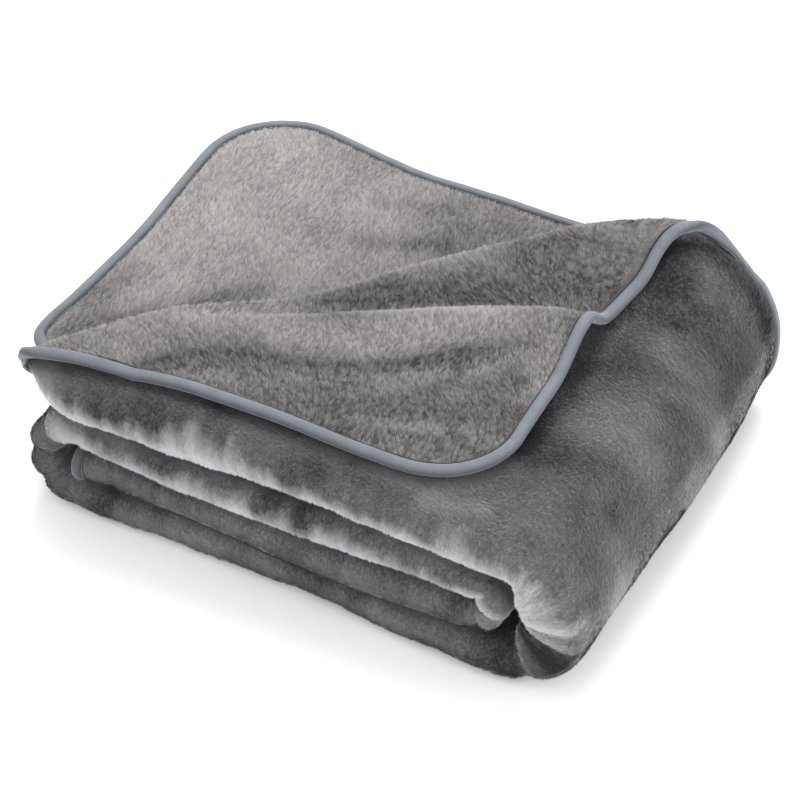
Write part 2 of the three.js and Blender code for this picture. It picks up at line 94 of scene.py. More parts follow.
WAVES = [
    {"far": 30, "dip": 6, "dip_up": 1, "crest": 12, "crest_up": 1, "trough": 30, "trough_up": 0},
    {"far": 65, "dip": 8, "dip_up": 3, "crest": 14, "crest_up": 3, "trough": 32, "trough_up": 0},
    {"far": 98, "dip": 8, "dip_up": 5, "crest": 14, "crest_up": 5, "trough": 40, "trough_up": 0},
    {"far": 150, "dip": 8, "dip_up": 9, "crest": 14, "crest_up": 9, "trough": 52, "trough_up": 1},
    {"far": 200, "dip": 9, "dip_up": 8, "crest": 16, "crest_up": 11, "trough": 55, "trough_up": 1},
    {"far": 245, "dip": 14, "dip_up": 6, "crest": 26, "crest_up": 14, "trough": 65, "trough_up": 1},
    {"far": 285, "dip": 22, "dip_up": 3, "crest": 41, "crest_up": 15, "trough": 86, "trough_up": 1},
    {"far": 345, "dip": 41, "dip_up": 1, "crest": 61, "crest_up": 15, "trough": 108, "trough_up": 1},
    {"far": 380, "dip": 55, "dip_up": 0, "crest": 76, "crest_up": 15, "trough": 120, "trough_up": 1},
    {"far": 415, "dip": 68, "dip_up": 0, "crest": 90, "crest_up": 14, "trough": 128, "trough_up": 1},
    {"far": 484, "dip": 72, "dip_up": 0, "crest": 94, "crest_up": 13, "trough": 136, "trough_up": 1},
    {"far": 590, "dip": 72, "dip_up": 0, "crest": 94, "crest_up": 13, "trough": 136, "trough_up": 1},
]
FLAP_REST = 7
SWELL_AFTER, SWELL_UP, SWELL_ENDS = 45, 3, 99
LIFT_REACH = 70
REACH_OVER = 45

# The unevenness of a bundle folded by hand, as its solid has it: a pair is where a move starts or
# ends, and over how far it grows or fades
FRONT_LEAN = {"left": 6, "right": -3}
WANDER = {"by": 2, "x": 45, "z": 14}
LOOSE_ROLL = {"back": 14, "x": (42, 50), "low": (80, 10), "high": (104, 12)}
TUCK = {"back": 20, "x": (27, 32), "y": (60, 60), "low": (81, 4), "high": (112, 12)}
BACK_SHIFT = {"y": (150, 150), "left": 18, "left_x": (150, 120), "middle": -3, "middle_x": (300, 60)}
WRAP_IN = {"by": 6, "x": (330, 60), "y": (240, 80), "z": (10, 50)}
BELLY = {"by": 3.5, "x": (350, 40), "y": (60, 110), "end": (310, 90)}
PEAK = {"x": (285, 40), "end": (394, 60), "y": (270, 35), "z": (98, 36), "move_x": 6, "move_y": 4}
SLUMP = {"by": 18, "from": 24, "to": (50, 18), "x": (4, 20), "y": (60, 45)}
SAG = 4
RIPPLE = {"up": 1.2, "x": 60, "y": 70, "start": 1}


def smooth_column(rows, key, column):
    """A smooth curve through one column of a table, the same one that the solid follows."""
    keys = np.array([row[key] for row in rows], float)
    values = np.array([row[column] for row in rows], float)
    low = np.maximum(np.arange(len(rows)) - 1, 0)
    high = np.minimum(np.arange(len(rows)) + 1, len(rows) - 1)
    slopes = (values[high] - values[low]) / (keys[high] - keys[low])

    def at(x):
        i = np.searchsorted(keys[1:-1], x, side="left")
        step = keys[i + 1] - keys[i]
        f = np.clip((x - keys[i]) / step, 0, 1)
        f2, f3 = f * f, f * f * f
        return (
            (2 * f3 - 3 * f2 + 1) * values[i]
            + (f3 - 2 * f2 + f) * step * slopes[i]
            + (3 * f2 - 2 * f3) * values[i + 1]
            + (f3 - f2) * step * slopes[i + 1]
        )

    return at


def smooth_step(f):
    f = np.clip(f, 0, 1)
    return f * f * (3 - 2 * f)


def rise(value, start, over):
    return smooth_step((value - start) / over)


def fall(value, end, over):
    return smooth_step((end - value) / over)


left_end = smooth_column(LEFT_END, "across", "x")
flap = {column: smooth_column(FOLD, "far", column) for column in FOLD[0] if column != "far"}
flap.update({column: smooth_column(WAVES, "far", column) for column in WAVES[0] if column != "far"})


def run(start, end, level, side, cells):
    return {"length": abs(end - start), "cells": cells, "line": (start, end, level, side)}


def half_turn(x, z, radius, heading, start, outward, cells):
    return {"length": math.pi * radius, "cells": cells, "turn": (x, z, radius, heading, start, outward)}


def point_on(pieces, distance):
    """Where each distance lies on a path of runs and turns: x, z and the sheet's outer side there."""
    distance = np.asarray(distance, float)
    ends = np.cumsum([piece["length"] for piece in pieces])
    which = np.searchsorted(ends[:-1], distance, side="left")
    out = np.zeros((4,) + distance.shape)
    for k, piece in enumerate(pieces):
        here = which == k
        g = (distance[here] - ends[k] + piece["length"]) / piece["length"]
        if "line" in piece:
            a, b, level, side = piece["line"]
            out[0][here] = a + (b - a) * g
            out[1][here] = level
            out[3][here] = side
        else:
            x, z, radius, heading, top, outward = piece["turn"]
            dx = heading * np.sin(math.pi * g)
            dz = top * np.cos(math.pi * g)
            out[0][here] = x + radius * dx
            out[1][here] = z + radius * dz
            out[2][here] = outward * dx
            out[3][here] = outward * dz
    return out


def total_length(pieces):
    return sum(piece["length"] for piece in pieces)


L0, L1, L2, L3 = LAYERS
TOP_RUN = run(TOP_END_X, RIGHT_TURN_X, L3, 1, 76)
RIGHT_TURN = half_turn(RIGHT_TURN_X, (L0 + L3) / 2, (L3 - L0) / 2, 1, 1, 1, 38)
ALONG = [
    TOP_RUN,
    RIGHT_TURN,
    run(RIGHT_TURN_X, LEFT_TURN_X, L0, -1, 38),
    half_turn(LEFT_TURN_X, (L0 + L2) / 2, (L2 - L0) / 2, -1, -1, 1, 22),
    run(LEFT_TURN_X, INNER_TURN_X, L2, 1, 38),
    half_turn(INNER_TURN_X, (L1 + L2) / 2, (L2 - L1) / 2, 1, 1, 1, 16),
]
ALONG.append(run(INNER_TURN_X, INNER_TURN_X - (CLOTH_LONG - total_length(ALONG)), L1, -1, 30))
ACROSS = [
    run(BACK_EDGE_Y, FRONT_FOLD_Y, OUTER_PLY, 1, 60),
    half_turn(FRONT_FOLD_Y, 0, OUTER_PLY, -1, 1, 1, 14),
    run(FRONT_FOLD_Y, BACK_FOLD_Y, -OUTER_PLY, -1, 14),
    half_turn(BACK_FOLD_Y, -PLY, INNER_PLY, 1, -1, 1, 4),
    run(BACK_FOLD_Y, FRONT_FOLD_Y, -INNER_PLY, 1, 14),
    half_turn(FRONT_FOLD_Y, 0, INNER_PLY, -1, -1, -1, 4),
]
ACROSS.append(run(FRONT_FOLD_Y, FRONT_FOLD_Y + CLOTH_WIDE - total_length(ACROSS), INNER_PLY, -1, 44))
TOP_PLY_WIDE = ACROSS[0]["length"]


def top_x(along, across):
    end = left_end(across)
    on_run = end + (RIGHT_TURN_X - end) * (along / TOP_RUN["length"])
    return np.where(along > TOP_RUN["length"], RIGHT_TURN_X + along - TOP_RUN["length"], on_run)


def folded(along, across):
    """The bundle before its corner is turned back."""
    strip = point_on(ALONG, along)
    ply = point_on(ACROSS, across)
    strip[0] = np.where(along < TOP_RUN["length"], top_x(along, across), strip[0])
    return np.stack([strip[0] + strip[2] * ply[1], ply[0], strip[1] + strip[3] * ply[1]], -1)


def top_ply(x, y):
    """The top ply as if its straight run went on, with the direction it faces."""
    turned = np.clip((x - RIGHT_TURN_X) / RIGHT_TURN["length"], 0, 1)
    angle = math.pi * turned
    radius = (L3 - L0) / 2
    flat = x <= RIGHT_TURN_X
    up_x, up_z = np.where(flat, 0, np.sin(angle)), np.where(flat, 1, np.cos(angle))
    up = np.stack([up_x, np.zeros_like(x), up_z], -1)
    at_x = np.where(flat, x, RIGHT_TURN_X + radius * np.sin(angle))
    at = np.stack([at_x, y, (L0 + L3) / 2 + radius * np.cos(angle)], -1)
    return at + OUTER_PLY * up, up


def flap_height(far, beyond):
    """The flap's height over the ply below it, at a distance beyond its fold."""
    stops = [
        (np.zeros_like(far), flap["lift"](far) + 2 * flap["radius"](far) - FLAP_REST),
        (flap["dip"](far), flap["dip_up"](far)),
        (flap["crest"](far), flap["crest_up"](far)),
        (flap["trough"](far), flap["trough_up"](far)),
        (flap["trough"](far) + SWELL_AFTER, np.full_like(far, SWELL_UP)),
        (flap["trough"](far) + SWELL_ENDS, np.zeros_like(far)),
    ]
    height = stops[0][1]
    for (a, up), (b, onward) in zip(stops, stops[1:]):
        height = np.where(beyond > a, up + (onward - up) * smooth_step((beyond - a) / (b - a)), height)
    return height


def turned_back(x, y):
    """The top ply with its corner lifted, rolled over the fold and laid towards the front."""
    dx, dy = x - FAN_X, y - FAN_Y
    far = np.hypot(dx, dy)
    fold = np.radians(flap["angle"](far))
    past = far * (np.arctan2(dy, dx) - fold)
    lift = flap["lift"](far)
    under, up = top_ply(x, y)
    before = under + up * (lift * smooth_step(1 + past / LIFT_REACH))[..., None]
    radius = flap["radius"](far)
    foot, _ = top_ply(FAN_X + far * np.cos(fold), FAN_Y + far * np.sin(fold))
    a = past / radius
    roll_x = -np.sin(fold) * radius * np.sin(a)
    roll_y = np.cos(fold) * radius * np.sin(a)
    rolled = foot + np.stack([roll_x, roll_y, lift + radius * (1 - np.cos(a))], -1)
    turn = math.pi * radius
    to_edge = np.arccos(np.clip((LEFT_END[0]["x"] - FAN_X) / far, -1, 1))
    on_flat = np.maximum(far * (to_edge - fold) - turn, 1)
    turned = far * (fold - np.radians(flap["edge"](far)))
    beyond = turned * ((past - turn) / on_flat)
    angle = fold - beyond / far
    reach = far * (1 + (flap["reach"](far) - 1) * smooth_step(beyond / REACH_OVER))
    laid_z = TOP_PLY + FLAP_REST + flap_height(far, beyond)
    laid_over = np.stack([FAN_X + reach * np.cos(angle), FAN_Y + reach * np.sin(angle), laid_z], -1)
    past = past[..., None]
    return np.where(past <= 0, before, np.where(past < turn[..., None], rolled, laid_over))


def laid(along, across):
    """The bundle with its corner turned back, before it settles."""
    on_top = (across <= TOP_PLY_WIDE) & (along < TOP_RUN["length"] + RIGHT_TURN["length"])
    top = turned_back(top_x(along, across), BACK_EDGE_Y - across)
    return np.where(on_top[..., None], top, folded(along, across))


def place(along, across):
    """A point of the finished cloth's middle surface, in millimetres in the frame of the part."""
    p = laid(along, across)
    x, y, z = p[..., 0], p[..., 1], p[..., 2]
    high = np.clip((z - FLOOR_PLY) / (TOP_PLY - FLOOR_PLY), 0, 1)
    front = 1 - y / BACK_EDGE_Y
    lean = FRONT_LEAN["right"] + (FRONT_LEAN["left"] - FRONT_LEAN["right"]) * (1 - x / RIGHT_TURN_X)
    y = y + front * (lean * (1 - high) - WANDER["by"] * np.sin(x / WANDER["x"] + z / WANDER["z"]))
    in_roll = rise(z, *LOOSE_ROLL["low"]) * fall(z, *LOOSE_ROLL["high"])
    y = y + LOOSE_ROLL["back"] * fall(x, *LOOSE_ROLL["x"]) * front * in_roll
    in_tuck = rise(z, *TUCK["low"]) * fall(z, *TUCK["high"])
    y = y + TUCK["back"] * fall(x, *TUCK["x"]) * fall(y, *TUCK["y"]) * in_tuck
    back = BACK_SHIFT["left"] * fall(x, *BACK_SHIFT["left_x"])
    back = back + BACK_SHIFT["middle"] * fall(x, *BACK_SHIFT["middle_x"])
    y = y + high * rise(y, *BACK_SHIFT["y"]) * back
    x = x - WRAP_IN["by"] * rise(x, *WRAP_IN["x"]) * rise(y, *WRAP_IN["y"]) * rise(z, *WRAP_IN["z"])
    x = x + BELLY["by"] * rise(x, *BELLY["x"]) * rise(y, *BELLY["y"]) * fall(y, *BELLY["end"])
    peak = rise(x, *PEAK["x"]) * fall(x, *PEAK["end"]) * rise(y, *PEAK["y"]) * rise(z, *PEAK["z"])
    x = x + PEAK["move_x"] * peak
    y = y + PEAK["move_y"] * peak
    out_x, out_z = x - RIGHT_TURN_X, z - (L0 + L3) / 2
    from_axis = np.hypot(out_x, out_z)
    in_turn = (from_axis > SLUMP["from"]) * fall(from_axis, *SLUMP["to"]) * rise(out_x, *SLUMP["x"])
    slump = SLUMP["by"] * in_turn * fall(y, *SLUMP["y"])
    x = x - slump * out_x / from_axis
    z = z - slump * out_z / from_axis
    z = z - SAG * np.sin(math.pi * high)
    z = z + high * RIPPLE["up"] * np.sin(x / RIPPLE["x"] + RIPPLE["start"]) * np.sin(y / RIPPLE["y"])
    return np.stack([x, y, z], -1) - MIDDLE


LATTICE = 64
OCTAVE_SHIFT = 7.3  # so that the noise's sizes don't share their lattice points


def lattice_noise(u, v, seed):
    """Smooth noise from 0 to 1 on a repeating lattice."""
    table = np.random.default_rng(seed).random((LATTICE, LATTICE))
    i, j = np.floor(u).astype(int), np.floor(v).astype(int)
    f, g = smooth_step(u - i), smooth_step(v - j)
    i, i2, j, j2 = i % LATTICE, (i + 1) % LATTICE, j % LATTICE, (j + 1) % LATTICE
    near = table[i, j] * (1 - f) + table[i2, j] * f
    far = table[i, j2] * (1 - f) + table[i2, j2] * f
    return near * (1 - g) + far * g


def cloud_noise(u, v, seed, octaves=3):
    """Noise of several sizes, each half as large and half as strong as the one before."""
    total, weight = 0.0, 0.0
    for octave in range(octaves):
        strength = 0.5**octave
        finer_u = u * 2**octave + OCTAVE_SHIFT * octave
        total = total + strength * lattice_noise(finer_u, v * 2**octave, seed + octave)
        weight += strength
    return total / weight


# The grid's first lines from the cloth's edge, under the tape; the next one, where its even part
# begins; and its cells over a round corner at the far ends
EDGE_LINES = np.array([0, 3, 7])
EDGE_RING = 12
CORNER_CELLS = {"along": 10, "across": 12}


def grid_lines(pieces, corner_cells):
    """The lines of the cloth's fine grid, as distances on the flat cloth."""
    end = total_length(pieces)
    lines = [EDGE_LINES, np.array([EDGE_RING])]
    start = 0.0
    for piece in pieces:
        last = piece is pieces[-1]
        stop = end - CORNER_RADIUS if last else start + piece["length"]
        lines.append(np.linspace(max(start, EDGE_RING), stop, piece["cells"] + 1)[1:])
        start += piece["length"]
    lines.append(np.linspace(end - CORNER_RADIUS, end - EDGE_RING, corner_cells + 1)[1:])
    lines.append(end - EDGE_LINES[::-1])
    return np.concatenate(lines)


def round_corners(along, across):
    """The square sheet's points moved in so that its four corners are round."""
    far_a = along > CLOTH_LONG / 2
    far_c = across > CLOTH_WIDE / 2
    u = 1 - np.where(far_a, CLOTH_LONG - along, along) / CORNER_RADIUS
    v = 1 - np.where(far_c, CLOTH_WIDE - across, across) / CORNER_RADIUS
    at_corner = (u > 0) & (v > 0)
    out = np.where(at_corner, np.maximum(u, v), 1)
    turn = np.where(at_corner, math.pi / 4 * np.minimum(u, v) / out, 0)
    a = np.where(u >= v, np.cos(turn), np.sin(turn))
    b = np.where(u >= v, np.sin(turn), np.cos(turn))
    inset_a = CORNER_RADIUS * (1 - out * a)
    inset_c = CORNER_RADIUS * (1 - out * b)
    new_along = np.where(at_corner, np.where(far_a, CLOTH_LONG - inset_a, inset_a), along)
    new_across = np.where(at_corner, np.where(far_c, CLOTH_WIDE - inset_c, inset_c), across)
    return new_along, new_across


def unit(vectors):
    return vectors / np.maximum(np.linalg.norm(vectors, axis=-1, keepdims=True), 1e-9)


along_lines = grid_lines(ALONG, CORNER_CELLS["along"])
across_lines = grid_lines(ACROSS, CORNER_CELLS["across"])
ROWS, COLUMNS = len(along_lines), len(across_lines)
flat_along, flat_across = round_corners(*np.meshgrid(along_lines, across_lines, indexing="ij"))
smooth_middle = place(flat_along, flat_across)


def facing_of(surface):
    return unit(np.cross(np.gradient(surface, axis=1), np.gradient(surface, axis=0)))


def mark(start, end, by, wide, bow=0, fade=None):
    """A soft line on the flat cloth; it may bow, and its ends fade over its width or another distance."""
    return np.array(start, float), np.array(end, float), by, wide, bow, fade or wide


# Soft creases (below 0) and ridges (above 0) of the cloth's outer side, in millimetres; on the
# turned-back flap, where the outer side faces down, a crease is above 0
CREASES = [
    mark((4, 234), (140, 26), by=2.4, wide=8, bow=4),
    mark((104, 60), (62, 74), by=1.5, wide=5, bow=4),
    mark((100, 40), (64, 22), by=1.4, wide=5, bow=-4),
    mark((56, 52), (30, 78), by=1.3, wide=5, bow=3),
    mark((118, 30), (96, 14), by=1.2, wide=4),
    mark((365, 95), (392, 40), by=-1.2, wide=7, bow=3),
    mark((330, 210), (352, 270), by=-1.0, wide=8, bow=-4),
    mark((385, 110), (404, 175), by=-1.2, wide=8, bow=4),
    mark((448, 308), (443, 352), by=-3.6, wide=4.5, bow=2),
    mark((482, 308), (474, 352), by=-4, wide=4.5, bow=-2),
    mark((427, 302), (431, 345), by=-2.6, wide=4, bow=2),
    mark((404, 306), (400, 345), by=-1.4, wide=4, bow=2),
    mark((1231, 295), (1226, 350), by=-4, wide=3.6, bow=2),
    mark((1214, 295), (1209, 350), by=-4, wide=3.6, bow=-3),
    mark((1198, 300), (1190, 345), by=-2.6, wide=3.6, bow=-2),
    mark((836, 295), (840, 350), by=-3.0, wide=4, bow=2),
    mark((852, 295), (858, 350), by=-3.4, wide=4.5, bow=-2),
    mark((872, 295), (880, 350), by=-3.2, wide=4, bow=2),
    mark((892, 295), (902, 350), by=-1.8, wide=5, bow=-2),
    mark((1498, 295), (1492, 345), by=-1.6, wide=5, bow=2),
]
# Where the pile of the outer side lies lighter (above 0) or darker: patches of its nap, and much
# painted light: painted shadow of the flap, painted shade in grooves, painted sheen on folds
OUTER_TONE_AND_PAINTED_LIGHT = [
    # Painted shadow cast by the flap's edge on the ply below it
    mark((28, 296), (206, 281), by=-0.3, wide=6),
    mark((200, 281), (304, 271), by=-0.3, wide=6),
    mark((300, 272), (336, 226), by=-0.28, wide=6),
    mark((337, 230), (331, 96), by=-0.26, wide=7, bow=3),
    mark((333, 98), (342, 18), by=-0.26, wide=7),
    # Painted sheen on the folds of the left turn, the bottom layer and the third layer
    mark((868, 300), (900, 304), by=0.3, wide=14),
    mark((520, 322), (780, 322), by=0.18, wide=20),
    mark((1240, 318), (1490, 318), by=0.08, wide=16),
    # Painted shadow beside the flap; then lighter nap patches on the sheet, and darker ones, partly painted
    # shadow from the flap
    mark((350, 40), (328, 240), by=-0.2, wide=20, bow=-6),
    mark((366, 85), (380, 116), by=0.2, wide=17),
    mark((352, 183), (378, 207), by=0.2, wide=24),
    mark((406, 172), (424, 262), by=0.24, wide=15, bow=4),
    mark((417, 98), (426, 118), by=0.16, wide=13),
    mark((392, 134), (412, 162), by=-0.24, wide=15),
    mark((384, 246), (406, 292), by=-0.18, wide=22),
    mark((334, 235), (350, 264), by=-0.14, wide=12),
    mark((368, 78), (390, 42), by=-0.14, wide=7),
    # Painted shade in the groove inside the back edge's tape
    mark((345, 15), (432, 15), by=-0.25, wide=8),
    # Painted sheen on the lip of the top layer's front fold
    mark((296, 300), (346, 288), by=0.3, wide=8),
    mark((250, 292), (292, 286), by=0.12, wide=8),
    # Painted sheen on the third layer's end, the left turn, the right turn's lip and the inner turn's lump;
    # painted shade in the wedge under the right turn's lip; two darker marks
    mark((1506, 300), (1502, 340), by=0.4, wide=17),
    mark((858, 318), (905, 322), by=0.3, wide=12),
    mark((780, 320), (828, 320), by=-0.12, wide=16),
    mark((432, 300), (428, 340), by=0.25, wide=8),
    mark((1192, 318), (1234, 322), by=0.25, wide=14),
    mark((454, 348), (460, 314), by=-0.3, wide=7),
    mark((442, 315), (468, 306), by=0.2, wide=9),
    mark((470, 300), (500, 330), by=-0.1, wide=14),
]
# The same for the reverse side, much of it painted light, on the turned-back flap, then on the cloth
# that it leaves bare behind it
REVERSE_TONE_AND_PAINTED_LIGHT = [
    # Painted shade between the flap's two ridges and painted highlights on their tops
    mark((132, 175), (208, 8), by=-0.18, wide=20, bow=4, fade=60),
    mark((120, 150), (230, 20), by=-0.08, wide=30),
    mark((236, 32), (258, 10), by=0.14, wide=9),
    mark((196, 52), (214, 34), by=0.1, wide=8),
    mark((60, 215), (150, 40), by=0.14, wide=16),
    # Painted shade in the trough before the second ridge, and painted highlights along its crest
    mark((2, 230), (124, 48), by=-0.44, wide=7, bow=3, fade=60),
    mark((64, 210), (130, 164), by=0.14, wide=8, fade=30),
    mark((134, 160), (152, 60), by=0.16, wide=7, fade=30),
    # Darker on the flap's lower part and at its corner; painted shade on the first ridge's face and in a
    # crease; two lighter marks
    mark((0, 170), (62, 50), by=-0.16, wide=28),
    mark((120, 34), (100, 18), by=-0.16, wide=9),
    mark((56, 20), (104, 32), by=-0.38, wide=26),
    mark((214, 44), (268, 8), by=-0.3, wide=24, fade=40),
    mark((104, 60), (62, 74), by=-0.16, wide=6, bow=4),
    mark((24, 104), (38, 44), by=0.16, wide=8),
    mark((66, 17), (118, 7), by=0.12, wide=6),
    # Painted shade on the bare cloth along the flap's fold, where the flap overhangs it
    mark((136, 1178), (200, 1206), by=-0.2, wide=10),
    mark((128, 1224), (186, 1241), by=-0.12, wide=8),
    mark((6, 1030), (24, 1084), by=-0.22, wide=14, fade=30),
    mark((14, 1000), (110, 1108), by=-0.24, wide=11, fade=24),
]


def marks_at(marks, along, across):
    """The sum of soft line marks at places on the flat cloth."""
    total = np.zeros_like(along)
    for start, end, by, wide, bow, fade in marks:
        length = np.linalg.norm(end - start)
        onward = (end - start) / length
        s = ((along - start[0]) * onward[0] + (across - start[1]) * onward[1]) / length
        aside = (across - start[1]) * onward[0] - (along - start[0]) * onward[1]
        aside = aside - bow * np.sin(math.pi * np.clip(s, 0, 1))
        soft = fade / length
        ends = smooth_step(s / soft + 0.5) * smooth_step((1 - s) / soft + 0.5)
        total = total + by * ends * np.exp(-((aside / wide) ** 2))
    return total


SOFT_CLOUDS = {"size": 48, "by": 2.4}
FRONT_LUMPS = {"along": 15, "across": 26, "from": (285, 20), "to": (355, 20)}
LUMPS_HIGH = {"everywhere": 1.4, "more_at_base": 2.4, "base_from": (480, 60), "base_to": (960, 60)}


def unevenness(along, across):
    """How far the soft cloth stands out from its smooth folds, towards its outer side."""
    size = SOFT_CLOUDS["size"]
    height = SOFT_CLOUDS["by"] * (cloud_noise(along / size, across / size, 3) - 0.5)
    at_front = rise(across, *FRONT_LUMPS["from"]) * fall(across, *FRONT_LUMPS["to"])
    lumps = cloud_noise(along / FRONT_LUMPS["along"], across / FRONT_LUMPS["across"], 11, 2) - 0.5
    at_base = rise(along, *LUMPS_HIGH["base_from"]) * fall(along, *LUMPS_HIGH["base_to"])
    by = LUMPS_HIGH["everywhere"] + LUMPS_HIGH["more_at_base"] * at_base
    height = height + at_front * lumps * by
    return height + marks_at(CREASES, along, across)


middle = smooth_middle + facing_of(smooth_middle) * unevenness(flat_along, flat_across)[..., None]
middle[..., 2] = np.maximum(middle[..., 2], LOWEST_MIDDLE)
facing = facing_of(middle)


def new_piece(name, points, faces, looks, *, look_of_face=None, uv=None, shades=None, normals=None):
    """A mesh object from arrays: points in millimetres, faces all with the same number of corners."""
    mesh = bpy.data.meshes.new(name)
    corners = faces.shape[1]
    mesh.vertices.add(len(points))
    mesh.vertices.foreach_set("co", (points * MM).astype(np.float32).ravel())
    mesh.loops.add(faces.size)
    mesh.loops.foreach_set("vertex_index", faces.astype(np.int32).ravel())
    mesh.polygons.add(len(faces))
    mesh.polygons.foreach_set("loop_start", np.arange(0, faces.size, corners, dtype=np.int32))
    mesh.polygons.foreach_set("use_smooth", np.ones(len(faces), bool))
    if look_of_face is not None:
        mesh.polygons.foreach_set("material_index", look_of_face.astype(np.int32))
    if uv is not None:
        layer = mesh.uv_layers.new(name="flat_cloth")
        layer.data.foreach_set("uv", uv[faces.ravel()].astype(np.float32).ravel())
    for key, values in (shades or {}).items():
        shade = mesh.attributes.new(key, "FLOAT", "POINT")
        shade.data.foreach_set("value", values.astype(np.float32).ravel())
    mesh.update(calc_edges=True)
    mesh.validate()
    if normals is not None:
        mesh.normals_split_custom_set_from_vertices(normals.astype(np.float32))
    for material in looks:
        mesh.materials.append(material)
    piece = bpy.data.objects.new(name, mesh)
    bpy.context.scene.collection.objects.link(piece)
    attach(piece, "root")
    return piece


# Looks


def look(name):
    """A new material, its node tree and the inputs of its shader."""
    material = bpy.data.materials.new(name)
    material.use_nodes = True
    return material, material.node_tree, material.node_tree.nodes["Principled BSDF"].inputs


def feed(tree, inputs, values):
    """Each of the inputs set to its value, or linked if that is another node's output."""
    for key, value in values.items():
        if isinstance(value, bpy.types.NodeSocket):
            tree.links.new(value, inputs[key])
        else:
            inputs[key].default_value = value


def add_node(tree, kind, values=None, **settings):
    node = tree.nodes.new(kind)
    for key, value in settings.items():
        setattr(node, key, value)
    feed(tree, node.inputs, values or {})
    return node


def maths(tree, operation, *values, clamp=False):
    node = add_node(tree, "ShaderNodeMath", dict(enumerate(values)), operation=operation, use_clamp=clamp)
    return node.outputs[0]


def mixed(tree, amount, first, second, **settings):
    """One colour mixed with, or added to, another."""
    node = add_node(tree, "ShaderNodeMix", data_type="RGBA", **settings)
    feed(tree, node.inputs, {0: amount, 6: first, 7: second})
    return node.outputs[2]


def attribute(tree, name):
    return add_node(tree, "ShaderNodeAttribute", attribute_name=name).outputs["Fac"]


def pile_shade_group():
    """The colour of pile from how light its cloth is there, painted shade included, with the fine grain of
    its fibres.
    """
    group = bpy.data.node_groups.new("pile_shade", "ShaderNodeTree")
    for name, in_out, kind in (
        ("Dark", "INPUT", "Color"),
        ("Light", "INPUT", "Color"),
        ("Grain", "INPUT", "Float"),
        ("Grain Size", "INPUT", "Float"),
        ("Colour", "OUTPUT", "Color"),
        ("Height", "OUTPUT", "Float"),
    ):
        group.interface.new_socket(name=name, in_out=in_out, socket_type="NodeSocket" + kind)
    given = add_node(group, "NodeGroupInput").outputs
    where = add_node(group, "ShaderNodeTexCoord").outputs["Object"]
    noise = {"Vector": where, "Scale": given["Grain Size"], "Detail": 3.0, "Roughness": 0.7}
    fibres = add_node(group, "ShaderNodeTexNoise", noise).outputs["Fac"]
    grain = maths(group, "MULTIPLY", maths(group, "SUBTRACT", fibres, 0.5), given["Grain"])
    shade = maths(group, "ADD", attribute(group, "light"), grain, clamp=True)
    colour = mixed(group, shade, given["Dark"], given["Light"])
    add_node(group, "NodeGroupOutput", {"Colour": colour, "Height": fibres})
    return group


pile_shade = pile_shade_group()

# Painted sheen: how far pile faces away before pale colour is added to it, over how much more it
# grows, and how much sooner it begins where the painted sheen attribute is full
PAINTED_SHEEN_FROM, PAINTED_SHEEN_OVER, PAINTED_SHEEN_SOONER = 0.95, 0.9, 0.9


def pile_look(name, dark, light, painted_sheen_colour, rim, sheen, grain, grain_size, bump=0):
    """Pile with painted sheen, pale where it is seen from the side, by its rim amount and painted_sheen
    attribute.
    """
    material, tree, shader = look(name)
    shades = {"Dark": (*dark, 1), "Light": (*light, 1), "Grain": grain, "Grain Size": grain_size}
    shade = add_node(tree, "ShaderNodeGroup", node_tree=pile_shade)
    feed(tree, shade.inputs, shades)
    seen = add_node(tree, "ShaderNodeLayerWeight", {"Blend": 0.5}).outputs["Facing"]
    sooner = maths(tree, "MULTIPLY_ADD", attribute(tree, "painted_sheen"), PAINTED_SHEEN_SOONER, -PAINTED_SHEEN_FROM)
    past = {"Value": maths(tree, "ADD", seen, sooner), "From Max": PAINTED_SHEEN_OVER, "To Max": rim}
    amount = add_node(tree, "ShaderNodeMapRange", past).outputs[0]
    painted_sheen_blend = {"blend_type": "ADD", "clamp_result": True}
    surface = {
        "Base Color": mixed(tree, amount, shade.outputs["Colour"], (*painted_sheen_colour, 1), **painted_sheen_blend),
        "Roughness": 0.9,
        "Specular IOR Level": 0.2,
        "Sheen Weight": sheen,
        "Sheen Roughness": 0.4,
        "Sheen Tint": (0.95, 0.96, 1.0, 1),
    }
    if bump:
        raised = {"Height": shade.outputs["Height"], "Strength": bump, "Distance": 0.0008}
        surface["Normal"] = add_node(tree, "ShaderNodeBump", raised).outputs["Normal"]
    feed(tree, shader, surface)
    return material


# Each side's pile colours: dark and light for its tone and painted shade, the pale colour of its painted
# sheen, and how much of that its rims get
OUTER = {
    "dark": (0.017, 0.0172, 0.0195),
    "light": (0.203, 0.202, 0.207),
    "painted_sheen_colour": (0.40, 0.403, 0.418),
    "rim": 0.8,
}
REVERSE = {
    "dark": (0.034, 0.032, 0.031),
    "light": (0.50, 0.48, 0.468),
    "painted_sheen_colour": (0.30, 0.29, 0.285),
    "rim": 0.12,
    "sheen": 0.05,
}
outer_ground = pile_look("velvet_outer_ground", **OUTER, sheen=0.15, grain=0.35, grain_size=700, bump=0.3)
reverse_ground = pile_look("fluffy_reverse_ground", **REVERSE, grain=0.3, grain_size=400, bump=0.5)
outer_pile = pile_look("velvet_outer_pile", **OUTER, sheen=0.2, grain=0.8, grain_size=800)
reverse_pile = pile_look("fluffy_reverse_pile", **REVERSE, grain=0.2, grain_size=700)


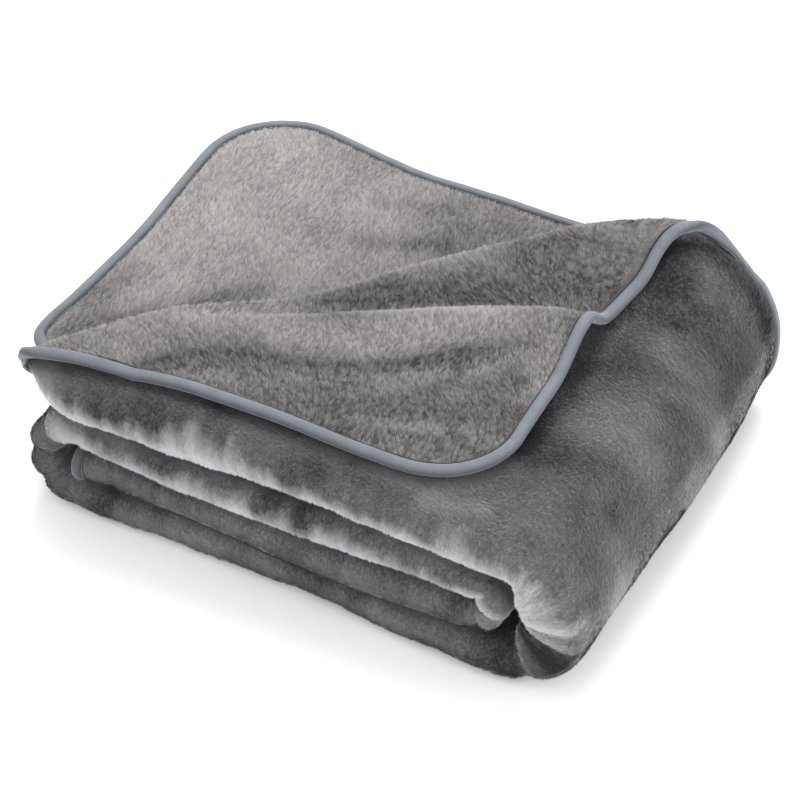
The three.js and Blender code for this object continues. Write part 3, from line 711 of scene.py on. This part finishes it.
def tape_look():
    """Fine knit tape: small stitches in its own flat coordinates, with painted shade where its light
    attribute is low.
    """
    material, tree, shader = look("knit_tape")
    where = add_node(tree, "ShaderNodeUVMap", uv_map="flat_cloth").outputs["UV"]
    knit = add_node(tree, "ShaderNodeTexVoronoi", {"Vector": where, "Scale": 1100.0}, feature="F1")
    stitch = knit.outputs["Distance"]
    cloud = add_node(tree, "ShaderNodeTexNoise", {"Vector": where, "Scale": 70.0, "Detail": 3.0})
    yarn = maths(tree, "ADD", maths(tree, "MULTIPLY", stitch, 0.3), cloud.outputs["Fac"], clamp=True)
    lit = mixed(tree, yarn, (0.055, 0.064, 0.077, 1), (0.125, 0.143, 0.168, 1))
    raised = add_node(tree, "ShaderNodeBump", {"Height": stitch, "Strength": 0.3, "Distance": 0.0003})
    # Painted shade on the tape: near black where its light attribute is low
    surface = {
        "Base Color": mixed(tree, attribute(tree, "light"), (0.008, 0.0085, 0.01, 1), lit),
        "Normal": raised.outputs["Normal"],
        "Roughness": 0.75,
        "Sheen Weight": 0.3,
        "Sheen Roughness": 0.5,
    }
    feed(tree, shader, surface)
    return material


tape = tape_look()

# Where the plies end and the next ones begin, across the cloth
PLY_ENDS = np.cumsum([piece["length"] for piece in ACROSS])
# How far each point of the grid is from the nearest edge of the cloth
EDGE_FAR = np.minimum(
    np.minimum(along_lines, CLOTH_LONG - along_lines)[:, None],
    np.minimum(across_lines, CLOTH_WIDE - across_lines)[None, :],
)
# How near to the edge the pile has painted shade in the groove by the tape, and over how far that fades
GROOVE_SHADE_REACH = (7, 5)
# How much painted shade each side has in the groove by the tape; the reverse side's painted sheen
OUTER_GROOVE_SHADE, REVERSE_GROOVE_SHADE = 0.12, 0.22
REVERSE_PAINTED_SHEEN = 0.75
GROUND_SHADE_UNDER_PILE = 0.75  # painted shade of the ground between the tufts, beside the light of its pile

# The front fold of the outer side, by the distances across the cloth, and its lip where it turns
# under, which gets a painted sheen band on the top layer, into the right turn, and on the layer below it
ROLL = {"from": (290, 22), "to": (360, 20)}
LIP = {"from": (295, 34), "to": (365, 20)}
TOP_LIP = {"to": (462, 30), "less": 0.3, "less_from": (366, 20)}
NEXT_LIP = {"from": (850, 50), "to": (1235, 40)}
TURN_FOOT = {"from": (400, 30), "to": (490, 40), "across": (322, 20)}
WHOLE_TURN = {"from": (366, 60), "to": (540, 30)}


def outer_shades(along, across, patch, streak):
    """The outer side, dark with lighter patches, painted shade and shadow from its marks, and painted sheen
    on the lips of its front folds.
    """
    roll = rise(across, *ROLL["from"]) * fall(across, *ROLL["to"])
    mottle = smooth_step((cloud_noise(along / 26, across / 70, 41, 3) - 0.12) / 0.76)
    finer = cloud_noise(along / 15, across / 22, 47, 3) - 0.5
    brushed = cloud_noise(along / 5, across / 22, 45, 2) - 0.5
    top_lip = fall(along, *TOP_LIP["to"]) - TOP_LIP["less"] * rise(along, *TOP_LIP["less_from"])
    next_lip = rise(along, *NEXT_LIP["from"]) * fall(along, *NEXT_LIP["to"])
    drift = 14 * (mottle - 0.5) + 10 * finer
    painted_lip_sheen = rise(across + drift, *LIP["from"]) * fall(across, *LIP["to"]) * np.maximum(top_lip, next_lip)
    # Tone from nap patches and streaks, plus the listed marks, many of them painted shadow, shade and sheen
    light = 0.26 + 0.46 * patch + 0.22 * streak + 1.3 * marks_at(OUTER_TONE_AND_PAINTED_LIGHT, along, across)
    light = light + roll * (0.25 * (mottle - 0.6) + 0.2 * finer + 0.25 * brushed - 0.08)
    # Painted sheen: a little everywhere, more on the front fold, most on its lip
    painted_sheen = 0.1 + 0.1 * patch + roll * (0.1 + 0.15 * mottle + 0.2 * brushed)
    painted_sheen = painted_sheen + painted_lip_sheen * (0.86 + 0.5 * (mottle - 0.5) + 0.4 * finer + 0.2 * brushed)
    # Painted sheen on the right turn's foot and over the whole right turn
    turn_foot = rise(along, *TURN_FOOT["from"]) * fall(along, *TURN_FOOT["to"])
    painted_sheen = painted_sheen + 0.4 * turn_foot * fall(across, *TURN_FOOT["across"])
    painted_sheen = painted_sheen + 0.14 * rise(along, *WHOLE_TURN["from"]) * fall(along, *WHOLE_TURN["to"])
    return light, painted_sheen


def reverse_shades(along, across, patch, streak, place_x):
    """The reverse side, lighter on the plies inside the bundle and darker towards the right there, with
    painted shade and highlights from its marks.
    """
    inside = rise(across, PLY_ENDS[4], 40)
    light = 0.3 + 0.28 * inside + (0.18 - 0.03 * inside) * (patch - 0.5) + 0.12 * streak
    light = light + marks_at(REVERSE_TONE_AND_PAINTED_LIGHT, along, across)
    return light - 0.34 * inside * rise(place_x, -160, 240)


def shades_of(along, across, sign, place_x, edge_far):
    """How light the pile is, painted shade included, and how much painted sheen it has at its rims, at
    places on one side of the cloth.
    """
    warp = 1.2 * cloud_noise(along / 90, across / 90, 61)
    cloud = cloud_noise(along / 62 + warp, across / 62 - warp, 21, 4)
    patch = smooth_step((cloud - 0.3) / 0.4)
    streak = cloud_noise(along / 9 + 3 * warp, across / 24, 31, 2) - 0.5
    groove_shade = fall(edge_far, *GROOVE_SHADE_REACH)
    if sign > 0:
        light, painted_sheen = outer_shades(along, across, patch, streak)
        return light - OUTER_GROOVE_SHADE * groove_shade, painted_sheen
    light = reverse_shades(along, across, patch, streak, place_x) - REVERSE_GROOVE_SHADE * groove_shade
    light = np.maximum(light, 0.12 + 0.1 * streak)
    return light, np.full_like(light, REVERSE_PAINTED_SHEEN)


def ground_side(sign):
    """The knit ground's outer side (1) or its reverse side (-1)."""
    return middle + sign * GROUND * facing


def sheet_faces():
    """The ground's faces on both sides and on its edge, and the points round its rim."""
    i, j = np.meshgrid(np.arange(ROWS - 1), np.arange(COLUMNS - 1), indexing="ij")
    a = (i * COLUMNS + j).ravel()
    outer = np.stack([a, a + 1, a + COLUMNS + 1, a + COLUMNS], -1)
    count = ROWS * COLUMNS
    reverse = outer[:, ::-1] + count
    rim = np.concatenate(
        [
            np.arange(ROWS) * COLUMNS,
            (ROWS - 1) * COLUMNS + np.arange(1, COLUMNS),
            np.arange(ROWS - 2, -1, -1) * COLUMNS + COLUMNS - 1,
            np.arange(COLUMNS - 2, 0, -1),
        ]
    )
    onward = np.roll(rim, -1)
    edge = np.stack([rim, onward, onward + count, rim + count], -1)
    return outer, reverse, edge, rim


outer_faces, reverse_faces, edge_faces, rim = sheet_faces()
flat_uv = np.stack([flat_along, flat_across], -1).reshape(-1, 2) * MM
points = np.concatenate([ground_side(sign).reshape(-1, 3) for sign in (1, -1)])
look_of_face = np.zeros(len(outer_faces) + len(reverse_faces) + len(edge_faces))
look_of_face[len(outer_faces) : -len(edge_faces)] = 1
ground_shades = [shades_of(flat_along, flat_across, sign, middle[..., 0], EDGE_FAR) for sign in (1, -1)]
cloth = new_piece(
    "blanket_cloth",
    points,
    np.concatenate([outer_faces, reverse_faces, edge_faces]),
    [outer_ground, reverse_ground],
    look_of_face=look_of_face,
    uv=np.concatenate([flat_uv, flat_uv]),
    shades={
        "light": np.concatenate([GROUND_SHADE_UNDER_PILE * light.ravel() for light, _ in ground_shades]),
        "painted_sheen": np.concatenate([painted_sheen.ravel() for _, painted_sheen in ground_shades]),
    },
)
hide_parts("blanket")


# The tape round the edge: how far in it reaches, its gap over the ground, how far its fold stands
# past the ground's edge, and its girth for its flat coordinates
TAPE_INSIDE = 6.5
TAPE_GAP = 0.2
TAPE_PAST_EDGE = 0.3
TAPE_GIRTH = 30
# Half of its section: how far out of the cloth's edge, and how far to one side of its middle
TAPE_SIDE = [
    (-6.5, 1.7), (-6.1, 1.9), (-5.6, 1.6), (-5.1, 1.6), (-4.8, 2.3), (-4.1, 3.1),
    (-2.8, 3.65), (-1.0, 3.7), (0.7, 3.2), (1.9, 2.3), (2.6, 1.2), (2.85, 0.3),
]
# Painted shade round the tape's side: how light it is there, dark in the groove by the pile
TAPE_SHADE_ROUND_SIDE = [0.0, 0.0, 0.0, 0.05, 0.45, 0.8, 1.0, 1.0, 0.95, 0.75, 0.5, 0.35]
# The tape at the cloth's second end, half hidden in the front folds, painted darker there as shade
SHADED_HIDDEN_END = {"along": 1460, "across": 420, "light": 0.3}


def tape_mesh():
    """The tape's points, faces, flat coordinates and painted shade, round the cloth's whole edge."""
    flat_middle = middle.reshape(-1, 3)
    flat_facing = facing.reshape(-1, 3)
    i, j = np.divmod(rim, COLUMNS)
    first = len(EDGE_LINES)
    ring = np.clip(i, first, ROWS - 1 - first) * COLUMNS + np.clip(j, first, COLUMNS - 1 - first)
    at = flat_middle[rim]
    onward = unit(np.roll(at, -1, 0) - np.roll(at, 1, 0))
    out = at - flat_middle[ring]
    out -= onward * (out * onward).sum(-1, keepdims=True)
    out = unit(out)
    side = unit(np.cross(onward, out))
    side *= np.sign((side * flat_facing[rim]).sum(-1, keepdims=True))
    section = [(u, v) for u, v in TAPE_SIDE] + [(u, -v) for u, v in reversed(TAPE_SIDE)]
    inner = GROUND + TAPE_GAP
    section += [(-TAPE_INSIDE, -inner), (TAPE_PAST_EDGE, -inner)]
    section += [(TAPE_PAST_EDGE, inner), (-TAPE_INSIDE, inner)]
    sides = len(section)
    points = np.stack([at + u * out + v * side for u, v in section], 1)
    points[..., 2] = np.maximum(points[..., 2], FLOOR_GAP)
    count = len(rim)
    k, c = np.meshgrid(np.arange(count), np.arange(sides), indexing="ij")
    k2, c2 = (k + 1) % count, (c + 1) % sides
    faces = np.stack([k * sides + c, k * sides + c2, k2 * sides + c2, k2 * sides + c], -1).reshape(-1, 4)
    travelled = np.concatenate([[0], np.cumsum(np.linalg.norm(np.diff(at, axis=0), axis=-1))])
    girth = np.linspace(0, TAPE_GIRTH, sides)
    uv = np.stack(np.meshgrid(travelled, girth, indexing="ij"), -1).reshape(-1, 2) * MM
    light = np.array([*TAPE_SHADE_ROUND_SIDE, *reversed(TAPE_SHADE_ROUND_SIDE), 0, 0, 0, 0])
    at_end = flat_along.ravel()[rim] > SHADED_HIDDEN_END["along"]
    at_end &= flat_across.ravel()[rim] < SHADED_HIDDEN_END["across"]
    light = light * np.where(at_end, SHADED_HIDDEN_END["light"], 1.0)[:, None]
    return points.reshape(-1, 3), faces, uv, light.ravel()


tape_points, tape_faces, tape_uv, tape_light = tape_mesh()
tape_shades = {"light": tape_light}
binding = new_piece("binding_tape", tape_points, tape_faces, [tape], uv=tape_uv, shades=tape_shades)
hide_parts("binding")

# The pile, as leaning tufts of fine points on the faces that show. A face shows if a look away from
# it, straight out or leaning to either side, meets no other ply
LOOK_LEANS = (0.0, 0.8, -0.8)
LOOK_FROM, LOOK_FAR = 1.5, 24.0
RESTS_BELOW, RESTS_FACING = 3, -0.85  # faces that lie on the floor, by their height and normal
TAPE_COVERS = 6.2  # no tuft stands nearer to the cloth's edge
SHORTER_BY_TAPE = {"to": 0.6, "over": (6, 7)}
tree = BVHTree.FromPolygons(
    [Vector(p) for p in points.tolist()],
    np.concatenate([outer_faces, reverse_faces]).tolist(),
)


def openness(places, normals, nap):
    """Whether a look away from each place meets no other ply."""
    free = np.zeros(len(places), bool)
    for lean in LOOK_LEANS:
        directions = unit(normals + lean * nap)
        for k in np.flatnonzero(~free):
            start = Vector(places[k] + normals[k] * LOOK_FROM)
            hit = tree.ray_cast(start, Vector(directions[k]), LOOK_FAR)
            free[k] = hit[0] is None
    return free


def corners_of(values):
    """A grid's values at the four corners of each cell."""
    return [values[:-1, :-1], values[:-1, 1:], values[1:, 1:], values[1:, :-1]]


def cell_frames(sign):
    """Each cell's corners on one side, its normal, and two directions in its plane."""
    corners = corners_of(ground_side(sign))
    a, b, c, d = corners
    along_way = (d - a + c - b) / 2
    across_way = (b - a + c - d) / 2
    normal = unit(np.cross(across_way, along_way)) * sign
    return corners, along_way, across_way, normal


CLUMPS = 128  # on a side of the lattice, before it repeats


def clump_of(along, across, size):
    """The nearest of a jittered lattice's points: how far away it is, and a number of its own."""
    i, j = np.floor(along / size).astype(int), np.floor(across / size).astype(int)
    table = np.random.default_rng(77).random((3, CLUMPS, CLUMPS))
    best = np.full(along.shape, 1e9)
    to_along, to_across, own = np.zeros_like(best), np.zeros_like(best), np.zeros_like(best)
    for di in (-1, 0, 1):
        for dj in (-1, 0, 1):
            m, n = (i + di) % CLUMPS, (j + dj) % CLUMPS
            u = (i + di + table[0][m, n]) * size - along
            v = (j + dj + table[1][m, n]) * size - across
            nearer = u * u + v * v < best
            best = np.where(nearer, u * u + v * v, best)
            to_along, to_across = np.where(nearer, u, to_along), np.where(nearer, v, to_across)
            own = np.where(nearer, table[2][m, n], own)
    return to_along, to_across, own


# How tufts differ by clouds over the cloth, from clump to clump and one by one
HEADING = {"size": 38, "by_clump": 1.0, "by_tuft": 0.6}
TILT = {"size": 12, "by_cloud": 0.24, "by_tuft": 0.3}
LENGTH = {"least": 0.8, "by_clump": 0.4, "by_tuft": 0.3}


def tufts(name, sign, keep, most, pile, material):
    """Fine leaning points of pile that draw together into clumps, each one thin triangle."""
    corners, along_way, across_way, normal = cell_frames(sign)
    area = np.linalg.norm(np.cross(along_way, across_way), axis=-1).ravel() * keep.ravel()
    per_mm2 = min(pile["per_mm2"], most / max(area.sum(), 1))
    counts = np.floor(area * per_mm2 + rng.random(len(area))).astype(int)
    cell = np.repeat(np.arange(len(counts)), counts)
    u, v = rng.random(len(cell)), rng.random(len(cell))
    weights = [(1 - u) * (1 - v), (1 - u) * v, u * v, u * (1 - v)]

    def inside_cell(values):
        flat = [corner.reshape(-1, *corner.shape[2:])[cell] for corner in corners_of(values)]
        return sum((w[:, None] if f.ndim > 1 else w) * f for w, f in zip(weights, flat))

    root = inside_cell(ground_side(sign))
    along, across, edge_far = inside_cell(flat_along), inside_cell(flat_across), inside_cell(EDGE_FAR)
    clear = edge_far > TAPE_COVERS
    root, along, across, edge_far, cell = (each[clear] for each in (root, along, across, edge_far, cell))
    normal = normal.reshape(-1, 3)[cell]
    a_way = unit(along_way.reshape(-1, 3)[cell])
    c_way = unit(np.cross(a_way, normal))
    c_way *= np.sign((c_way * across_way.reshape(-1, 3)[cell]).sum(-1, keepdims=True))
    to_along, to_across, own = clump_of(along, across, pile["clump"])
    jitter = rng.random((3, len(cell))) - 0.5
    swirl = cloud_noise(along / HEADING["size"], across / HEADING["size"], 51) - 0.5
    turn = pile["nap"] + pile["swirl"] * 2 * swirl
    turn = turn + HEADING["by_clump"] * (own - 0.5) + HEADING["by_tuft"] * jitter[0]
    cloud = cloud_noise(along / TILT["size"], across / TILT["size"], 71, 1) - 0.5
    tilt = pile["lean"] + TILT["by_cloud"] * cloud + TILT["by_tuft"] * jitter[1]
    heading = a_way * np.cos(turn)[:, None] + c_way * np.sin(turn)[:, None]
    direction = heading * np.cos(tilt)[:, None] + normal * np.sin(tilt)[:, None]
    by_tape = SHORTER_BY_TAPE["to"] + (1 - SHORTER_BY_TAPE["to"]) * rise(edge_far, *SHORTER_BY_TAPE["over"])
    share = LENGTH["least"] + LENGTH["by_clump"] * own + LENGTH["by_tuft"] * jitter[2]
    long = pile["long"] * share * by_tape
    across_tuft = unit(np.cross(direction, normal)) * (pile["wide"] / 2)
    base = root + normal * 0.05  # clear of the ground's own faces
    tip = base + direction * long[:, None]
    tip = tip + pile["draw"] * (a_way * to_along[:, None] + c_way * to_across[:, None])
    tip[:, 2] = np.maximum(tip[:, 2], 2 * FLOOR_GAP)
    points = np.stack([base - across_tuft, base + across_tuft, tip], 1).reshape(-1, 3)
    light, painted_sheen = shades_of(along, across, sign, root[:, 0], edge_far)
    light = light + pile["vary"] * (own - 0.5) + 0.5 * pile["vary"] * jitter[1]
    painted_sheen = painted_sheen + 0.06 * (own - 0.5)
    # Painted shade at each tuft's root and painted light at its tip
    shaded_root_light = np.minimum(light, light * pile["root"])
    shade = np.stack([shaded_root_light, shaded_root_light, light * pile["tip"]], 1).ravel()
    stray = pile["stray"] * (jitter[0][:, None] * c_way + (own - 0.5)[:, None] * a_way)
    leaned = unit(normal + stray + 0.12 * heading)
    faces = np.arange(len(points)).reshape(-1, 3)
    piece = new_piece(
        name,
        points,
        faces,
        [material],
        shades={"light": shade, "painted_sheen": np.repeat(painted_sheen, 3)},
        normals=np.repeat(leaned, 3, axis=0),
    )
    return piece


def shown(sign):
    """Which cells of one side show, and the middles of all of them."""
    corners, along_way, _, normal = cell_frames(sign)
    centre = sum(corners) / 4
    free = openness(centre.reshape(-1, 3), normal.reshape(-1, 3), unit(along_way.reshape(-1, 3)))
    resting = (normal[..., 2] < RESTS_FACING) & (centre[..., 2] < RESTS_BELOW)
    return free.reshape(centre.shape[:2]) & ~resting, centre


# Tufts to a square millimetre; their length and width; their tilt off the cloth, where they head and
# how much that swirls; their clumps' size and draw; how much their shades vary; the painted shade at
# the root and painted light at the tip, beside the cloth's own shade; and how far their normals stray
LONG_PILE = {
    "per_mm2": 5.0, "long": 3.3, "wide": 0.5, "lean": 0.52, "nap": 0.0, "swirl": 1.6,
    "clump": 1.8, "draw": 0.48, "vary": 0.26, "root": 0.42, "tip": 1.18, "stray": 0.3,
}
SHORT_PILE = {
    "per_mm2": 2.8, "long": 2.5, "wide": 0.58, "lean": 0.42, "nap": 1.2, "swirl": 1.2,
    "clump": 1.6, "draw": 0.4, "vary": 0.4, "root": 0.55, "tip": 1.25, "stray": 0.18,
}
SHEET_PILE = {**LONG_PILE, "long": 2.9, "lean": 0.66, "nap": 1.3, "swirl": 0.8, "root": 0.56, "tip": 1.02}
FLAP_OVER = 3  # the flap's cells lie higher over the top ply than this
ON_TOP_TOO = 0.15  # of the right turn
outer_shown, _ = shown(1)
reverse_shown, reverse_centre = shown(-1)
row = np.arange(ROWS - 1)[:, None]
turn_begins = TOP_RUN["length"] + ON_TOP_TOO * RIGHT_TURN["length"]
turn_ends = TOP_RUN["length"] + RIGHT_TURN["length"]
turn_begins, turn_ends = np.searchsorted(along_lines, (turn_begins, turn_ends))
on_flap = reverse_shown & (reverse_centre[..., 2] > TOP_PLY + FLAP_OVER)
on_top = outer_shown & (row < turn_begins)
on_turn = outer_shown & (row >= turn_begins) & (row < turn_ends)
tufts("pile_flap", -1, on_flap, 190000, LONG_PILE, reverse_pile)
tufts("pile_reverse", -1, reverse_shown & ~on_flap, 150000, SHEET_PILE, reverse_pile)
tufts("pile_top", 1, on_top, 120000, SHORT_PILE, outer_pile)
tufts("pile_turn", 1, on_turn, 120000, SHORT_PILE, outer_pile)
tufts("pile_layers", 1, outer_shown & (row >= turn_ends), 160000, SHORT_PILE, outer_pile)


# Floor, light and camera, in metres
FLOOR_SIZE = 12
LIGHTS = {
    "key_light": {"at": (-0.2, 0.9, 1.5), "size": 1.2, "power": 28},
    "front_light": {"at": (0.5, -1.7, 0.5), "size": 1.0, "power": 16},
    "side_light": {"at": (1.7, 0.1, 0.6), "size": 1.0, "power": 12},
}
LIT = Vector((0, 0, 0.05))
STUDIO_STRENGTH = 1.15
AZIMUTH, ELEVATION = math.radians(27.78), math.radians(41.7)
TARGET = Vector((0.00665, -0.01436, 0.05))
DISTANCE, LENS, SENSOR = 2.04, 138.465, 36


def pale_floor():
    bpy.ops.object.select_all(action="DESELECT")
    bpy.ops.mesh.primitive_plane_add(size=FLOOR_SIZE, location=(0, 0, 0))
    floor = bpy.context.object
    floor.name = "floor"
    material, tree, shader = look("pale_floor")
    feed(tree, shader, {"Base Color": (0.9, 0.9, 0.9, 1), "Roughness": 0.9})
    floor.data.materials.append(material)


def studio_light():
    world = bpy.context.scene.world or bpy.data.worlds.new("studio")
    bpy.context.scene.world = world
    world.use_nodes = True
    background = world.node_tree.nodes["Background"]
    background.inputs["Color"].default_value = (1, 1, 1, 1)
    background.inputs["Strength"].default_value = STUDIO_STRENGTH
    for name, light in LIGHTS.items():
        data = bpy.data.lights.new(name, "AREA")
        data.size = light["size"]
        data.energy = light["power"]
        lamp = bpy.data.objects.new(name, data)
        lamp.location = light["at"]
        lamp.rotation_euler = (LIT - Vector(light["at"])).to_track_quat("-Z", "Y").to_euler()
        bpy.context.scene.collection.objects.link(lamp)


def camera_at_photo():
    level = math.cos(ELEVATION)
    back = Vector((math.sin(AZIMUTH) * level, -math.cos(AZIMUTH) * level, math.sin(ELEVATION)))
    camera = bpy.data.objects.new("camera", bpy.data.cameras.new("camera"))
    camera.data.sensor_width = SENSOR
    camera.data.lens = LENS
    camera.location = TARGET + back * DISTANCE
    camera.rotation_euler = back.to_track_quat("Z", "Y").to_euler()
    bpy.context.scene.collection.objects.link(camera)
    return camera


pale_floor()
studio_light()
bpy.context.scene.camera = camera_at_photo()
bpy.context.scene.view_settings.view_transform = "Standard"
